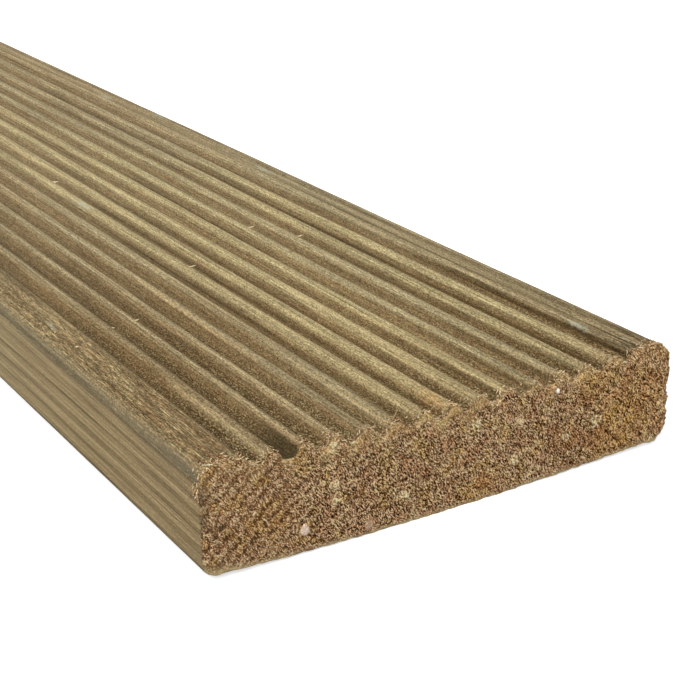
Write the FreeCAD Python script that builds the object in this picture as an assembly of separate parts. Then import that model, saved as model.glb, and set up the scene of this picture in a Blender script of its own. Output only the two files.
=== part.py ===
"""Grooved softwood decking board: one sawn, planed and moulded piece, cupped a little by drying.

The length runs along X, the width along Y, and the underside's middle line lies on Z = 0.
The origin is the centre of the underside. All sizes are in millimetres, and angles in degrees.
"""

import FreeCAD
import Part

import math
import os

# driving dimensions of the board
BOARD_LENGTH = 1800.0
BOARD_WIDTH = 140.0
BOARD_THICKNESS = 28.0
CUP_RISE = 2.1  # how far drying has lifted both long edges above the middle line
TOP_EDGE_RADIUS = 5.0
BOTTOM_EDGE_RADIUS = 3.0

# driving dimensions of the grooved face
GROOVE_COUNT = 14
EDGE_LAND = 11.95  # plain strip between a long edge and the groove beside it
GROOVE_WIDTH = 5.6  # across the mouth, before its edges are eased
GROOVE_DEPTH = 2.8
GROOVE_FLOOR_RADIUS = 2.2
GROOVE_WALL_DRAFT = 18.0  # how far a wall leans out from upright
RIDGE_EDGE_RADIUS = 1.6

# what the roundings at both ends of a wall, floor or land leave of it
LEAST_FLAT = 0.1

# sizes that follow from the driving ones
HALF_WIDTH = BOARD_WIDTH / 2
CUP_RADIUS = (HALF_WIDTH**2 + CUP_RISE**2) / (2 * CUP_RISE)
GROOVE_PITCH = (BOARD_WIDTH - 2 * EDGE_LAND - GROOVE_WIDTH) / (GROOVE_COUNT - 1)
FIRST_GROOVE_Y = EDGE_LAND + GROOVE_WIDTH / 2 - HALF_WIDTH
RIDGE_WIDTH = GROOVE_PITCH - GROOVE_WIDTH
WALL_LEAN = math.radians(GROOVE_WALL_DRAFT)
WALL_LENGTH = GROOVE_DEPTH / math.cos(WALL_LEAN)
HALF_TURN = (math.pi / 2 - WALL_LEAN) / 2  # half of how far the outline turns at each end of a wall
REACH_PER_RADIUS = math.tan(HALF_TURN)  # how far an arc there runs along the wall, and along the flat
RIDGE_REACH = min(
    RIDGE_EDGE_RADIUS * REACH_PER_RADIUS,
    (RIDGE_WIDTH - LEAST_FLAT) / 2,
    (WALL_LENGTH - LEAST_FLAT) / 2,
)
RIDGE_ROUNDING = RIDGE_REACH / REACH_PER_RADIUS
TOP_ROUNDING = min(TOP_EDGE_RADIUS, EDGE_LAND - RIDGE_REACH - LEAST_FLAT)
BOTTOM_ROUNDING = min(BOTTOM_EDGE_RADIUS, BOARD_THICKNESS - TOP_ROUNDING - LEAST_FLAT)

# lengths and places closer than this are taken as equal
SAME_PLACE = 1e-3


def rise(y):
    """Height that the cup adds at a place across the width: none on the middle line."""
    return CUP_RADIUS - math.sqrt(CUP_RADIUS**2 - y**2)


def section_point(y, z):
    """A point of the cross-section, on the plane of the board's back end."""
    return FreeCAD.Vector(-BOARD_LENGTH / 2, y, z)


def line(start, end):
    return Part.LineSegment(section_point(*start), section_point(*end)).toShape()


def arc(start, middle, end):
    return Part.Arc(section_point(*start), section_point(*middle), section_point(*end)).toShape()


def run_along_board(outline):
    """The solid that a closed outline of the cross-section sweeps over the whole length."""
    face = Part.Face(Part.Wire(outline))
    return face.extrude(FreeCAD.Vector(BOARD_LENGTH, 0, 0))


def cupped_blank():
    """The plain board: upright long edges, and the cup's arc on both wide faces."""
    edge_z = rise(HALF_WIDTH)
    low_left = (-HALF_WIDTH, edge_z)
    low_right = (HALF_WIDTH, edge_z)
    high_left = (-HALF_WIDTH, edge_z + BOARD_THICKNESS)
    high_right = (HALF_WIDTH, edge_z + BOARD_THICKNESS)
    outline = [
        arc(low_left, (0.0, 0.0), low_right),
        line(low_right, high_right),
        arc(high_right, (0.0, BOARD_THICKNESS), high_left),
        line(high_left, low_left),
    ]
    return run_along_board(outline)


def groove_cutter(groove_y):
    """The space that one moulding cutter sweeps: leaning walls, a rounded floor, open above the face.

    The groove was cut into a flat board, so it tilts with the face that the cup has bent.
    """
    face_z = rise(groove_y) + BOARD_THICKNESS
    floor_z = face_z - GROOVE_DEPTH
    above_z = face_z + GROOVE_DEPTH
    lean = GROOVE_DEPTH * math.tan(WALL_LEAN)
    half_floor = GROOVE_WIDTH / 2 - lean
    half_above = GROOVE_WIDTH / 2 + lean

    # each floor corner is an arc that touches the floor and the wall at the same distance
    wall_left = WALL_LENGTH - RIDGE_REACH - LEAST_FLAT
    floor_left = half_floor - LEAST_FLAT / 2
    reach = min(GROOVE_FLOOR_RADIUS * REACH_PER_RADIUS, wall_left, floor_left)
    radius = reach / REACH_PER_RADIUS
    on_floor = half_floor - reach
    on_wall = half_floor + reach * math.sin(WALL_LEAN)
    on_wall_z = floor_z + reach * math.cos(WALL_LEAN)
    bend = on_floor + radius * math.sin(HALF_TURN)
    bend_z = floor_z + radius * (1 - math.cos(HALF_TURN))

    outline = [line((groove_y - on_floor, floor_z), (groove_y + on_floor, floor_z))]
    for side in (-1, 1):
        floor_end = (groove_y + side * on_floor, floor_z)
        wall_end = (groove_y + side * on_wall, on_wall_z)
        above_end = (groove_y + side * half_above, above_z)
        outline.append(arc(floor_end, (groove_y + side * bend, bend_z), wall_end))
        outline.append(line(wall_end, above_end))
    outline.append(line((groove_y - half_above, above_z), (groove_y + half_above, above_z)))
    cutter = run_along_board(Part.__sortEdges__(outline))
    face_tilt = math.degrees(math.asin(groove_y / CUP_RADIUS))
    cutter.rotate(section_point(groove_y, face_z), FreeCAD.Vector(1, 0, 0), face_tilt)
    return cutter


def on_bottom_corner(place):
    return abs(place.z - rise(HALF_WIDTH)) < SAME_PLACE


def on_top_corner(place):
    return abs(place.z - rise(HALF_WIDTH) - BOARD_THICKNESS) < SAME_PLACE


def on_groove_mouth(place):
    """Where a groove's wall meets the face. The rounded corners leave no other edge between these."""
    inside_lands = abs(place.y) < HALF_WIDTH - EDGE_LAND + LEAST_FLAT
    return inside_lands and abs(place.z - rise(place.y) - BOARD_THICKNESS) < SAME_PLACE


def eased(board, radius, wanted):
    """The board with the long edges that are wanted rounded over."""
    edges = [e for e in board.Edges if abs(e.Length - BOARD_LENGTH) < SAME_PLACE and wanted(e.CenterOfMass)]
    return board.makeFillet(radius, edges)


def decking_board():
    board = cupped_blank()
    board = eased(board, BOTTOM_ROUNDING, on_bottom_corner)
    board = eased(board, TOP_ROUNDING, on_top_corner)
    board = board.cut([groove_cutter(FIRST_GROOVE_Y + i * GROOVE_PITCH) for i in range(GROOVE_COUNT)])
    board = eased(board, RIDGE_ROUNDING, on_groove_mouth)
    return board.Solids[0]


os.makedirs("parts", exist_ok=True)
decking_board().exportStep("parts/decking_board.step")
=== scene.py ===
import math

import bpy
import numpy as np
from mathutils import Matrix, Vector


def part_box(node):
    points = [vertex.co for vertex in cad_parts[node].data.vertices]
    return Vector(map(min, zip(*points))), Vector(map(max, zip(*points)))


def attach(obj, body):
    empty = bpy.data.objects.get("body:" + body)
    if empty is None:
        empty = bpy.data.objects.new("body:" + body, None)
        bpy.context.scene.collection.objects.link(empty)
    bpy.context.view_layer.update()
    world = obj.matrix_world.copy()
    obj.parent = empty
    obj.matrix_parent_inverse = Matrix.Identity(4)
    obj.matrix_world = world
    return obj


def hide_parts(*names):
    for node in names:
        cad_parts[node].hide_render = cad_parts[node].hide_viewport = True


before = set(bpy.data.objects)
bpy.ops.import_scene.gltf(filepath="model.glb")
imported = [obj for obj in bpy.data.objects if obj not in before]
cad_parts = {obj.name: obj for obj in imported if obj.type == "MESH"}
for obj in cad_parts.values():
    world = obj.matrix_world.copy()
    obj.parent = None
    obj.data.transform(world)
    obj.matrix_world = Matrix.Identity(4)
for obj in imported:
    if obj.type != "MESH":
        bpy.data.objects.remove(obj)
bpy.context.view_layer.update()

# The timber: one length of pressure-treated softwood, sawn flat from a log whose heart lay below it,
# so the growth rings are arches on the ends and stripes along the edges. Drying has cupped it upwards.

MM = 0.001
HIGH = np.array(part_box("decking_board")[1]) / MM
HALF_LENGTH = HIGH[0]
HALF_WIDTH = HIGH[1]
CUP_RISE = 2.1
THICKNESS = 28.0
CUP_RADIUS = (HALF_WIDTH**2 + CUP_RISE**2) / (2 * CUP_RISE)


def rise(y):
    """Height that the cup adds across the width: the sag of a circle of the cup's radius."""
    return CUP_RADIUS - np.sqrt(CUP_RADIUS**2 - y**2)


# The cross-section: a moulder has cut round-bottomed grooves into the walking face between two plain
# lands, and eased every long edge. The outline is walked once round: underside, right edge, face, left.

TOP_EDGE_RADIUS = 5.0
BOTTOM_EDGE_RADIUS = 3.0
GROOVE_COUNT = 14
EDGE_LAND = 11.95
LAND_START = HALF_WIDTH - EDGE_LAND
GROOVE_WIDTH = 5.6
GROOVE_DEPTH = 2.8
GROOVE_FLOOR_RADIUS = 2.2
GROOVE_WALL_DRAFT = math.radians(18.0)
RIDGE_EDGE_RADIUS = 1.6
GROOVE_PITCH = (2 * HALF_WIDTH - 2 * EDGE_LAND - GROOVE_WIDTH) / (GROOVE_COUNT - 1)
FIRST_GROOVE_Y = EDGE_LAND + GROOVE_WIDTH / 2 - HALF_WIDTH


def from_groove(y, number):
    """Distance across the face from the middle of a groove, by its number from the left."""
    return y - FIRST_GROOVE_Y - number * GROOVE_PITCH


def nearest_groove(y):
    """The number of the nearest groove, and on which side of its middle a place lies, -1 or 1."""
    number = np.clip(np.rint((y - FIRST_GROOVE_Y) / GROOVE_PITCH), 0, GROOVE_COUNT - 1)
    return number, np.sign(from_groove(y, number))


def groove_depth(y):
    """Depth below the plain face: a flat floor, an arc, a leaning wall, and an arc over the ridge's edge."""
    offset = np.abs(from_groove(y, nearest_groove(y)[0]))
    half_turn = (math.pi / 2 - GROOVE_WALL_DRAFT) / 2
    lean = math.tan(GROOVE_WALL_DRAFT)
    half_floor = GROOVE_WIDTH / 2 - GROOVE_DEPTH * lean
    floor_touch = GROOVE_FLOOR_RADIUS * math.tan(half_turn)
    flat_end = half_floor - floor_touch
    arc_end = half_floor + floor_touch * math.sin(GROOVE_WALL_DRAFT)
    ridge_touch = RIDGE_EDGE_RADIUS * math.tan(half_turn)
    wall_end = GROOVE_WIDTH / 2 - ridge_touch * math.sin(GROOVE_WALL_DRAFT)
    ridge_flat = GROOVE_WIDTH / 2 + ridge_touch
    on_arc = np.clip(offset - flat_end, 0, GROOVE_FLOOR_RADIUS)
    floor = GROOVE_DEPTH - GROOVE_FLOOR_RADIUS + np.sqrt(GROOVE_FLOOR_RADIUS**2 - on_arc**2)
    wall = (GROOVE_WIDTH / 2 - offset) / lean
    on_edge = np.clip(ridge_flat - offset, 0, RIDGE_EDGE_RADIUS)
    edge = RIDGE_EDGE_RADIUS - np.sqrt(RIDGE_EDGE_RADIUS**2 - on_edge**2)
    depth = np.where(offset <= arc_end, floor, wall)
    return np.where(offset >= wall_end, edge, depth)


def corner_drop(y, radius):
    """How far a rounded corner falls short of a square one: a quarter circle beside each long edge."""
    inwards = np.clip(np.abs(y) - (HALF_WIDTH - radius), 0, radius)
    return radius - np.sqrt(radius**2 - inwards**2)


def face_height(y):
    return rise(y) + THICKNESS - groove_depth(y) - corner_drop(y, TOP_EDGE_RADIUS)


def underside_height(y):
    return rise(y) + corner_drop(y, BOTTOM_EDGE_RADIUS)


FINE_STEP = 0.01
EDGE_POINTS = 200
EDGE_LOW = rise(HALF_WIDTH) + BOTTOM_EDGE_RADIUS
EDGE_HIGH = rise(HALF_WIDTH) + THICKNESS - TOP_EDGE_RADIUS


def walk(y, z):
    """The points of one stretch of the outline, with the distance walked along it."""
    steps = np.hypot(np.diff(y), np.diff(z))
    return np.concatenate([[0.0], np.cumsum(steps)]), y, z


across = HALF_WIDTH * np.sin(np.linspace(-math.pi / 2, math.pi / 2, int(2 * HALF_WIDTH / FINE_STEP)))
up = np.linspace(EDGE_LOW, EDGE_HIGH, EDGE_POINTS)
UNDERSIDE = walk(across, underside_height(across))
RIGHT_EDGE = walk(np.full_like(up, HALF_WIDTH), up)
FACE = walk(across[::-1], face_height(across[::-1]))
LEFT_EDGE = walk(np.full_like(up, -HALF_WIDTH), up[::-1])
STRETCHES = (UNDERSIDE, RIGHT_EDGE, FACE, LEFT_EDGE)
STARTS = np.concatenate([[0.0], np.cumsum([s[0][-1] for s in STRETCHES])])
OUTLINE_S = np.concatenate([s[0][:-1] + start for s, start in zip(STRETCHES, STARTS)] + [STARTS[-1:]])
OUTLINE_Y = np.concatenate([s[1][:-1] for s in STRETCHES] + [UNDERSIDE[1][:1]])
OUTLINE_Z = np.concatenate([s[2][:-1] for s in STRETCHES] + [UNDERSIDE[2][:1]])
NORMAL_SPAN = 0.05


def outline_y(s):
    return np.interp(s, OUTLINE_S, OUTLINE_Y)


def outline_z(s):
    return np.interp(s, OUTLINE_S, OUTLINE_Z)


def outline(s):
    """The outline's point at a distance walked round it, with the outward normal there."""
    dy = outline_y(s + NORMAL_SPAN) - outline_y(s - NORMAL_SPAN)
    dz = outline_z(s + NORMAL_SPAN) - outline_z(s - NORMAL_SPAN)
    size = np.hypot(dy, dz)
    return outline_y(s), outline_z(s), dz / size, -dy / size


# The long faces: the planed edges and underside are smooth. On the grooved face the cutters have lifted
# the soft grain, so the ridges wander a little and are furred, and both ends are frayed at their edges.

FACE_STEP = 0.68
EDGE_STEP = 1.6
UNDERSIDE_STEP = 4.0
CORNER_STEP = 0.9
BOW = 0.75
BOW_LENGTH = 360.0
FRAY_REACH = 1.3
LATTICE = 256


def eased(share):
    """A share with a gentle start and end: its square, times three less twice itself."""
    return share**2 * (3 - 2 * share)


def value_noise(u, v, seed):
    """Smooth random heights from -1 to 1: a seeded number on each whole lattice point, eased between."""
    lattice = np.random.default_rng(seed).uniform(-1, 1, (LATTICE, LATTICE))
    u_low = np.floor(u).astype(int)
    v_low = np.floor(v).astype(int)
    u_part = eased(u - u_low)
    v_part = eased(v - v_low)
    u_next = (u_low + 1) % LATTICE
    v_next = (v_low + 1) % LATTICE
    u_low = u_low % LATTICE
    v_low = v_low % LATTICE
    near = lattice[u_low, v_low] * (1 - u_part) + lattice[u_next, v_low] * u_part
    far = lattice[u_low, v_next] * (1 - u_part) + lattice[u_next, v_next] * u_part
    return near * (1 - v_part) + far * v_part


def line_noise(u, row, seed):
    """The same smooth heights along one row of the lattice."""
    return value_noise(u, np.zeros_like(u) + row, seed)


def between(value, none, full):
    """A share that goes evenly from none at one value to all at another."""
    return np.clip((value - none) / (full - none), 0, 1)


def on_walking_face(s):
    return (s > STARTS[2]) & (s < STARTS[3])


def face_place(y):
    """The distance round the outline of a place across the walking face."""
    return STARTS[2] + np.interp(-y, -FACE[1], FACE[0])


def end_distance(x):
    """How far a place along the length lies from the nearer sawn end."""
    return HALF_LENGTH - np.abs(x)


def fray_depth(s):
    """How much a sawn end has lost at its very edge, by place round the outline.

    The ridges lose the most and the grooves little. The plain edges are as often left with a burr.
    """
    y = outline_y(s)
    ridge = 1 - groove_depth(y) / GROOVE_DEPTH
    uneven = line_noise(s / 1.9, 3, 19)
    jagged = line_noise(s / 0.5, 6, 26)
    chunks = line_noise(s / 2.3, 8, 35)
    plain_edge = 0.1 + np.where(s < STARTS[1], 0.2, 0.4) * uneven
    far_edge = between(y, LAND_START, HALF_WIDTH)
    plain_edge = plain_edge + far_edge * (0.3 * uneven + 0.5 * jagged + 1.0 * chunks - 0.35)
    face = 0.08 + 0.2 * ridge * (1 + 1.2 * uneven)
    inside = between(np.abs(y), HALF_WIDTH, HALF_WIDTH - 6) * on_walking_face(s)
    return plain_edge + inside * (face - plain_edge)


def long_surface(x, s):
    """Points of the long faces, their outward normals, their depth in a groove and their share of near land.

    The outline is carried along the length. All grooves bow together as a sine, each flank wanders by
    itself, and fur, slow swells and the fray towards an end lift or lower the surface along its normal.
    """
    y, z, normal_y, normal_z = outline(s)
    face = on_walking_face(s)
    hollow = np.where(face, groove_depth(y) / GROOVE_DEPTH, 0.0)
    number, side = nearest_groove(y)
    lane = 2 * number + 0.5 * side
    wander = 0.28 * value_noise(x / 55, lane + 40, 11) + 0.10 * value_noise(x / 17, lane + 90, 12)
    flank = between(hollow, 0, 0.25) * between(hollow, 1.05, 0.8)
    bow = -BOW * np.sin(math.pi * (HALF_LENGTH - x) / BOW_LENGTH)
    inside = between(np.abs(y), HALF_WIDTH - 4, HALF_WIDTH - 10)
    near_land = between(-y, LAND_START, LAND_START + 2) * face
    fur = 0.07 * value_noise(x / 9, s / 0.75, 13) + 0.05 * value_noise(x / 5, s / 1.6, 14)
    fur = fur * np.where(face, 0.45 + 0.75 * hollow + 1.4 * near_land, 0.15)
    swell = 0.12 * value_noise(x / 130, s / 14, 15) * face
    fray = fray_depth(s) + 0.2 * value_noise(s / 0.8, x / 1.4, 20)
    lift = fur + swell - fray * np.exp(-end_distance(x) / FRAY_REACH)
    y = y + (wander * flank + bow * inside) * face
    points = np.stack([x, y + normal_y * lift, z + normal_z * lift], axis=-1)
    return points, np.stack([np.zeros_like(y), normal_y, normal_z], axis=-1), hollow, near_land


def stations(start, length, step):
    return start + np.linspace(0, length, int(round(length / step)), endpoint=False)


corner = BOTTOM_EDGE_RADIUS * 2
run_s = np.concatenate([
    stations(STARTS[0], corner, CORNER_STEP),
    stations(STARTS[0] + corner, STARTS[1] - 2 * corner, UNDERSIDE_STEP),
    stations(STARTS[1] - corner, corner, CORNER_STEP),
    stations(STARTS[1], STARTS[2] - STARTS[1], EDGE_STEP),
    stations(STARTS[2], STARTS[3] - STARTS[2], FACE_STEP),
    stations(STARTS[3], STARTS[4] - STARTS[3], EDGE_STEP),
])
FRONT_LENGTH = 64.0
FRONT_STEP = 3.4
SHOWN_LENGTH = 470.0
SHOWN_STEP = 8.0
PLAIN_COUNT = 28
frayed = np.array([1.5, 2.0, 2.7, 3.6, 5.0, 7.0, 9.5])
front = np.arange(12.5, FRONT_LENGTH, FRONT_STEP)
shown = np.arange(FRONT_LENGTH, SHOWN_LENGTH, SHOWN_STEP)
plain = np.linspace(SHOWN_LENGTH, 2 * HALF_LENGTH - 16.0, PLAIN_COUNT)
back_frayed = 2 * HALF_LENGTH - np.array([9.0, 4.5, 1.6])
run_x = HALF_LENGTH - np.concatenate([frayed, front, shown, plain, back_frayed])
x, s = np.meshgrid(run_x, run_s, indexing="ij")
run_points, _, hollow, near_land = long_surface(x, s)


# The sawn ends: a coarse blade has torn the ends across the grain, so bundles of fibre stand up and
# pits lie between them, in rows along the soft part of each ring. The edges are broken back.

PITH_Y = -2.0
PITH_Z = -50.0
RING_WIDTH = 2.9
SAW_SETBACK = 0.5
SAWN_X = HALF_LENGTH - SAW_SETBACK
RIM_BACK = 0.7
STROKE_LEAN = math.radians(38.0)
STROKE_ACROSS = np.array([math.cos(STROKE_LEAN), math.sin(STROKE_LEAN)])
STROKE_ALONG = np.array([-math.sin(STROKE_LEAN), math.cos(STROKE_LEAN)])
FRONT_COLUMNS, FRONT_ROWS, FRONT_SEED = 520, 92, 30
BACK_COLUMNS, BACK_ROWS, BACK_SEED = 234, 46, 60


def ring_softness(y, z, seed):
    """How soft the wood is: one in the middle of a ring's early wood, and none in its late wood.

    The rings are counted from the pith, with a slow wander. They are clear where they stand steep,
    towards the edges, and faint in the middle.
    """
    radius = np.hypot(y - PITH_Y, z - PITH_Z)
    around = np.arctan2(y - PITH_Y, z - PITH_Z) * (THICKNESS / 2 - PITH_Z)
    phase = radius / RING_WIDTH + 0.4 * value_noise(around / 16, radius / 9, seed)
    clear = 0.4 + 0.4 * between(-y, 25, 45) + 0.35 * between(y, 35, 50)
    return clear * (0.5 + 0.5 * np.cos(2 * math.pi * phase)) ** 1.5


def sawn_relief(y, z, seed):
    """Height of the torn end: lumps, broad swells and grit, less the pits torn out between the fibres.

    The pits are dashes along the saw's stroke, which leans over to the left, deepest in the soft rings.
    Towards both long edges the pits are deeper and the lumps higher.
    """
    over = y * STROKE_ACROSS[0] + z * STROKE_ACROSS[1]
    along = y * STROKE_ALONG[0] + z * STROKE_ALONG[1]
    comb = value_noise(over / 0.44, along / 1.2, seed + 1)
    pits = np.clip(comb + 0.1, 0, 1) * (0.1 + 0.9 * ring_softness(y, z, seed))
    deep = 0.2 + 0.2 * between(-y, 38, 53) + 0.15 * between(y, 40, 55)
    coarse = 0.04 + 0.24 * between(y, 36, 60) + 0.16 * between(-y, 56, 64)
    lumps = value_noise(over / 0.9, along / 1.6, seed + 2)
    broad = value_noise(y / 6.5, z / 6.5, seed + 3)
    grit = np.random.default_rng(seed + 5).uniform(-1, 1, y.shape)
    ragged = coarse * lumps + 0.1 * broad + 0.04 * grit - deep * pits
    return np.clip(ragged, -0.6, 0.45)


def sawn_end(columns, rows, seed):
    """A grid of upright columns from the underside to the face: its points, relief and broken edge.

    The grid's edge is drawn in by the fray of the long faces. With it come its places round the outline.
    """
    y = np.linspace(-HALF_WIDTH, HALF_WIDTH, columns)[:, None] + np.zeros(rows)
    share = np.linspace(0, 1, rows)[None, :]
    low = underside_height(y)
    high = face_height(y)
    z = low + share * (high - low)
    under_s = STARTS[0] + np.interp(y, UNDERSIDE[1], UNDERSIDE[0])
    right_s = STARTS[1] + np.clip(z, EDGE_LOW, EDGE_HIGH) - EDGE_LOW
    face_s = face_place(y)
    left_s = STARTS[3] + EDGE_HIGH - np.clip(z, EDGE_LOW, EDGE_HIGH)
    places = np.concatenate([under_s[:-1, 0], right_s[-1, :-1], face_s[:0:-1, -1], left_s[0, :0:-1]])
    edge = np.minimum(np.minimum(high - z, z - low), HALF_WIDTH - np.abs(y))
    relief = sawn_relief(y, z, seed) * (1 - 0.6 * np.exp(-edge / 0.5))
    broken = (0.15 + 0.2 * value_noise(y / 1.6, z / 1.6, seed + 6)) * np.exp(-edge / 0.4)
    at_rim = math.exp(-RIM_BACK / FRAY_REACH)
    z = z + at_rim * ((1 - share) * fray_depth(under_s) - share * fray_depth(face_s))
    from_right = at_rim * fray_depth(right_s) * np.exp(-(HALF_WIDTH - y) / 1.5)
    from_left = at_rim * fray_depth(left_s) * np.exp(-(HALF_WIDTH + y) / 1.5)
    return y - from_right + from_left, z, relief, broken, places


def rim(grid):
    """The grid's edge, walked the way of the outline: along the bottom, up, back along the top, down."""
    return np.concatenate([grid[:-1, 0], grid[-1, :-1], grid[:0:-1, -1], grid[0, :0:-1]])


def quads(grid):
    """Four corners for each cell of a grid, wound so that rows go first and columns second."""
    corners = [grid[:-1, :-1], grid[1:, :-1], grid[1:, 1:], grid[:-1, 1:]]
    return np.stack(corners, axis=-1).reshape(-1, 4)


def closed_round(grid):
    """A grid with its first column again after its last."""
    return np.concatenate([grid, grid[:, :1]], axis=1)


def zip_rings(ring_a, place_a, ring_b, place_b):
    """Triangles between two closed rings: their steps are taken in order of the middle of each step."""
    total = STARTS[-1]
    mid_a = (place_a + np.append(place_a[1:], place_a[0] + total)) / 2
    mid_b = (place_b + np.append(place_b[1:], place_b[0] + total)) / 2
    third_b = np.searchsorted(mid_b, mid_a, side="left")
    third_a = np.searchsorted(mid_a, mid_b, side="right")
    next_a = np.roll(ring_a, -1)
    next_b = np.roll(ring_b, -1)
    across_a = np.stack([ring_a, next_a, ring_b[third_b % len(ring_b)]], axis=1)
    across_b = np.stack([next_b, ring_b, ring_a[third_a % len(ring_a)]], axis=1)
    return np.concatenate([across_a, across_b])


def lay_mesh(name, points_mm, four_sided, three_sided):
    """A piece of the board from whole arrays: its points in millimetres, then its quads and triangles.

    No point hangs below the floor.
    """
    mesh = bpy.data.meshes.new(name)
    points_mm = np.maximum(points_mm, (-np.inf, -np.inf, 0.0))
    corners = np.concatenate([four_sided.ravel(), three_sided.ravel()])
    sizes = np.concatenate([np.full(len(four_sided), 4), np.full(len(three_sided), 3)])
    mesh.vertices.add(len(points_mm))
    mesh.vertices.foreach_set("co", (points_mm * MM).astype(np.float32).ravel())
    mesh.loops.add(len(corners))
    mesh.loops.foreach_set("vertex_index", corners.astype(np.int32))
    mesh.polygons.add(len(sizes))
    mesh.polygons.foreach_set("loop_start", (np.cumsum(sizes) - sizes).astype(np.int32))
    mesh.polygons.foreach_set("use_smooth", np.ones(len(sizes), dtype=bool))
    mesh.update(calc_edges=True)
    piece = bpy.data.objects.new(name, mesh)
    bpy.context.scene.collection.objects.link(piece)
    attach(piece, "root")
    return piece


front_y, front_z, front_lift, front_broken, front_rim = sawn_end(FRONT_COLUMNS, FRONT_ROWS, FRONT_SEED)
back_y, back_z, back_lift, back_broken, back_rim = sawn_end(BACK_COLUMNS, BACK_ROWS, BACK_SEED)
front_points = np.stack([SAWN_X + front_lift - front_broken, front_y, front_z], axis=-1)
back_points = np.stack([-SAWN_X - back_lift + back_broken, back_y, back_z], axis=-1)

run_index = np.arange(x.size).reshape(x.shape)
front_index = run_index.size + np.arange(front_y.size).reshape(front_y.shape)
back_index = run_index.size + front_index.size + np.arange(back_y.size).reshape(back_y.shape)
front_zip = zip_rings(rim(front_index), front_rim, run_index[0], run_s)[:, ::-1]
back_zip = zip_rings(rim(back_index), back_rim, run_index[-1], run_s)
board_points = np.concatenate([p.reshape(-1, 3) for p in (run_points, front_points, back_points)])
board_quads = np.concatenate([quads(closed_round(run_index)), quads(front_index), quads(back_index)[:, ::-1]])
board_triangles = np.concatenate([front_zip, back_zip])
board = lay_mesh("grooved_board", board_points, board_quads, board_triangles)
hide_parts("decking_board")
edge_ends = np.empty(2 * len(board.data.edges), dtype=np.int32)
board.data.edges.foreach_get("vertices", edge_ends)
on_rim = np.isin(edge_ends, np.concatenate([rim(front_index), rim(back_index)])).reshape(-1, 2).all(axis=1)
board.data.attributes.new("sharp_edge", "BOOLEAN", "EDGE").data.foreach_set("value", on_rim)


# The marks on the board: treatment and weather have browned the grooves, soiled the near ridges and
# bleached the far ones, and the saw has bruised the ends. Painted shade darkens the grooves and fills the
# front end of one, and painted highlights run along the ridges. Each mark is a number stored on the points,
# mostly from none to all, for the finish to read.

# middle across and up, and size
WARM_PATCHES = ((43.0, 23.0, 3.0), (35.0, 11.0, 2.5), (50.0, 8.0, 4.0), (-50.0, 12.0, 2.0),
                (8.0, 4.0, 3.5), (58.0, 14.0, 9.0))
TUFT_SIZE = 0.85
TUFT_PLACES = ((-35.0, 16.4), (-34.8, 12.4), (-15.6, 8.7), (19.7, 19.2), (34.9, 11.3),
               (18.6, 9.2), (45.4, 13.3), (6.2, 22.4), (11.7, 26.4), (-35.4, 26.6))
TUFTS = tuple((*place, TUFT_SIZE) for place in TUFT_PLACES)


def soft_spots(y, z, spots):
    """The sum of soft round spots, each a bell about its middle."""
    return sum(np.exp(-((y - at_y) ** 2 + (z - at_z) ** 2) / (2 * size**2)) for at_y, at_z, size in spots)


def bell(offset, width):
    """One at no offset, and dying away to both sides as the square of the offset."""
    return np.exp(-((offset / width) ** 2))


def warmth(y, z):
    """How yellow the wood is: the sum of the warm patches, up to all."""
    return np.clip(soft_spots(y, z, WARM_PATCHES), 0, 1)


def end_paleness(y, z):
    """How pale the bruised upper edge of a sawn end is: it fades downwards, and is patchy."""
    uneven = np.clip(0.5 + 0.9 * value_noise(y / 4, z / 3, 27), 0, 1.2)
    strongest = 0.7 + 0.7 * bell(y + 8, 24)
    return np.exp(-(face_height(y) - z) / 2.8) * uneven * strongest


def bottom_strip(y, z):
    """How smooth and pale the lowest edge of a sawn end is: a bell upwards from the underside, patchy."""
    patchy = np.clip(0.75 + 0.6 * line_noise(y / 7, 2, 29) + 0.6 * between(-y, 45, 55), 0, 1)
    tall = 0.9 + 0.9 * between(-y, 57, 65)
    return patchy * bell(z - underside_height(y), tall)


def calmness(y):
    """How even the torn wood of a sawn end is: most towards its left, and a little towards its right."""
    return between(-y, 38, 50) + 0.15 * between(y, 38, 50)


run_y = run_points[..., 1]
run_z = run_points[..., 2]
own_y = outline_y(s)
from_end = end_distance(x)
face = on_walking_face(s)
number, side = nearest_groove(own_y)
lane = np.where(face, np.rint(number + 0.5 * side), 60.0)


def fading(reach):
    """One at a sawn end, and dying away along the board."""
    return np.exp(-from_end / reach)


yellow_lanes = bell(run_y - 10, 30)
bright_lanes = bell(run_y - 24, 15)
tone = 0.45 * value_noise(x / 260, lane * 3 + 7, 17) + 0.3 * value_noise(x / 80, lane * 3 + 3, 18)
tone += 0.35 * line_noise(lane * 5, 2, 16) + 0.5 * (yellow_lanes - 0.5)
plainness = np.where(face, between(np.abs(run_y), LAND_START, LAND_START + 2), 1.0)
dull_flank = between(-run_y, 15, 30) * (side > 0)
brown = between(hollow + 0.18 * bright_lanes + 0.3 * dull_flank, 0.24, 0.69) * face

GROOVE_END_SHADE_LENGTH = 24.0
SHADED_GROOVE = 1


def groove_end_shade_share(y, behind):
    """How much painted shadow fills the front end of one groove: all of it at the end, fading along it and up
    its walls.
    """
    off = np.abs(from_groove(y, SHADED_GROOVE))
    return between(off, 2.9, 2.4) * between(behind, GROOVE_END_SHADE_LENGTH, GROOVE_END_SHADE_LENGTH - 14)


# Painted shadow in the front end of one groove, where it ends like a hole. Torn wood, fibres and fuzz are kept
# out of it.
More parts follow.
